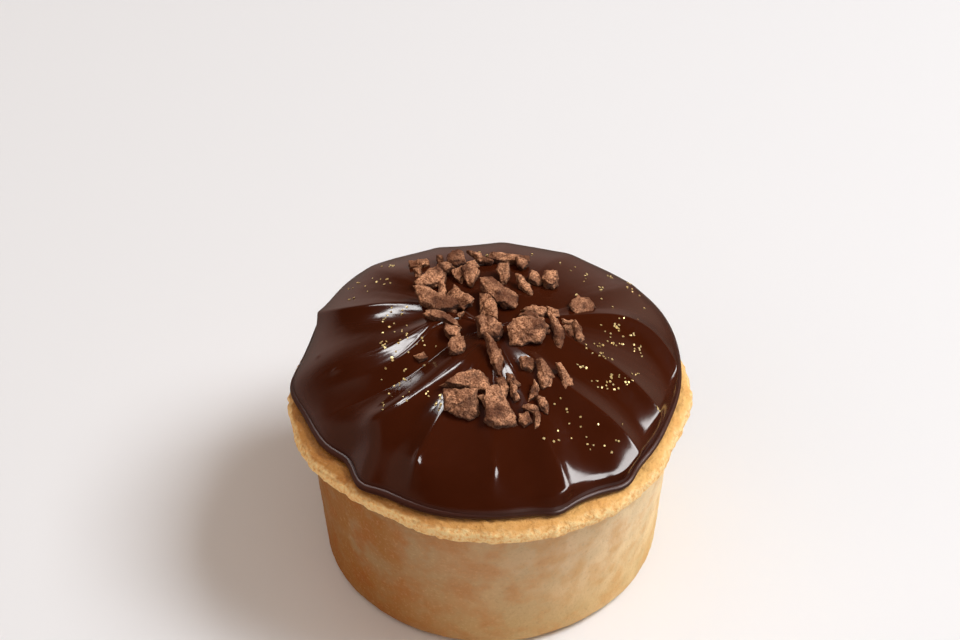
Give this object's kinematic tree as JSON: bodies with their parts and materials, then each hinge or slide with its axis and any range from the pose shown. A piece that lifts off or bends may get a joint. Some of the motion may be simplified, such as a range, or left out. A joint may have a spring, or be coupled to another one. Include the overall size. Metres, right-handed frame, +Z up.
{
  "type": "chocolate tart",
  "caption": "Deep round pastry tart filled with chocolate, its glossy dome folded from middle to edge and strewn with broken chocolate flakes.",
  "frame": {"origin": "middle of the flat base, on the surface the tart stands on", "axes": "+Z up; -Y towards the side where the flakes end in the large upright pieces; +X to the right seen from there"},
  "size_m": [0.0595, 0.0593, 0.0449],
  "materials": {
    "pastry": "dry baked shortcrust, mottled golden to brown",
    "chocolate_glaze": "wet-looking dark chocolate glaze",
    "chocolate_flakes": "dull, powdery broken chocolate",
    "gold_dust": "fine bright specks"
  },
  "bodies": {
    "root": {"pastry_shell": "pastry", "chocolate_filling": "chocolate_glaze"}
  },
  "joints": []
}
